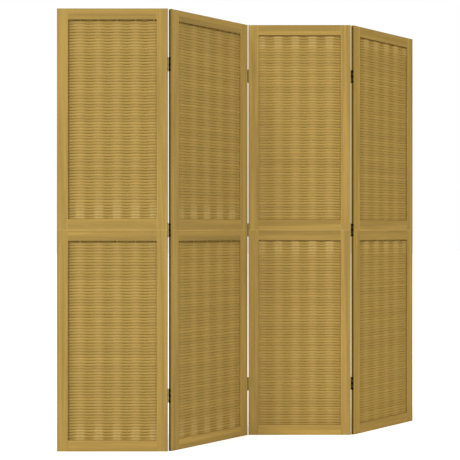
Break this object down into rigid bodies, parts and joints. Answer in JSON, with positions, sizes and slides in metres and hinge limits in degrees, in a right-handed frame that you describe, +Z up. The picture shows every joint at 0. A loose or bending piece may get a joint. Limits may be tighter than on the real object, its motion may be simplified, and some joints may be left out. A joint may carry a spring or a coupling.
{
  "type": "folding screen",
  "caption": "Free-standing hinged room divider with slim wooden frames and a horizontal woven strip infill, standing in a zigzag.",
  "frame": {"origin": "centre of the standing screen's bounding box, on the floor", "axes": "+Z up, +Y from the front to the back, +X from the left panel to the right one, with the first and third panels' faces square to Y"},
  "size_m": [1.3904, 0.5842, 1.6],
  "materials": {
    "stiles": "satin, grain along the stile",
    "rails": "satin, grain along the rail",
    "strips": "matte woven strips",
    "battens": "matte",
    "hinges": "dark antique",
    "hinge_pins": "dark antique",
    "screws": "dark antique"
  },
  "bodies": {
    "panel_1": {"panel_1_lower_left_stile": "stiles", "panel_1_lower_right_stile": "stiles", "panel_1_lower_bottom_rail": "rails", "panel_1_lower_top_rail": "rails", "panel_1_upper_left_stile": "stiles", "panel_1_upper_right_stile": "stiles", "panel_1_upper_bottom_rail": "rails", "panel_1_upper_top_rail": "rails", "panel_1_front_strips": "strips", "panel_1_back_strips": "strips", "panel_1_battens": "battens", "panel_1_hinge_screws": "screws", "hinge_12_left_leaves": "hinges", "hinge_12_pins": "hinge_pins"},
    "panel_2": {"panel_2_lower_left_stile": "stiles", "panel_2_lower_right_stile": "stiles", "panel_2_lower_bottom_rail": "rails", "panel_2_lower_top_rail": "rails", "panel_2_upper_left_stile": "stiles", "panel_2_upper_right_stile": "stiles", "panel_2_upper_bottom_rail": "rails", "panel_2_upper_top_rail": "rails", "panel_2_front_strips": "strips", "panel_2_back_strips": "strips", "panel_2_battens": "battens", "panel_2_hinge_screws": "screws", "hinge_12_right_leaves": "hinges", "hinge_23_left_leaves": "hinges", "hinge_23_pins": "hinge_pins"},
    "panel_3": {"panel_3_lower_left_stile": "stiles", "panel_3_lower_right_stile": "stiles", "panel_3_lower_bottom_rail": "rails", "panel_3_lower_top_rail": "rails", "panel_3_upper_left_stile": "stiles", "panel_3_upper_right_stile": "stiles", "panel_3_upper_bottom_rail": "rails", "panel_3_upper_top_rail": "rails", "panel_3_front_strips": "strips", "panel_3_back_strips": "strips", "panel_3_battens": "battens", "panel_3_hinge_screws": "screws", "hinge_23_right_leaves": "hinges", "hinge_34_left_leaves": "hinges", "hinge_34_pins": "hinge_pins"},
    "panel_4": {"panel_4_lower_left_stile": "stiles", "panel_4_lower_right_stile": "stiles", "panel_4_lower_bottom_rail": "rails", "panel_4_lower_top_rail": "rails", "panel_4_upper_left_stile": "stiles", "panel_4_upper_right_stile": "stiles", "panel_4_upper_bottom_rail": "rails", "panel_4_upper_top_rail": "rails", "panel_4_front_strips": "strips", "panel_4_back_strips": "strips", "panel_4_battens": "battens", "panel_4_hinge_screws": "screws", "hinge_34_right_leaves": "hinges"}
  },
  "joints": [
    {"name": "joint_12", "type": "hinge", "parent": "panel_1", "child": "panel_2", "pos_m": [-0.29447, -0.27801, 0.8], "axis": [0, 0, 1], "range_deg": [-45, 135]},
    {"name": "joint_23", "type": "hinge", "parent": "panel_2", "child": "panel_3", "pos_m": [0.0008, -0.00561, 0.8], "axis": [0, 0, -1], "range_deg": [-45, 135]},
    {"name": "joint_34", "type": "hinge", "parent": "panel_3", "child": "panel_4", "pos_m": [0.4022, 0.01056, 0.8], "axis": [0, 0, 1], "range_deg": [-45, 135]}
  ]
}
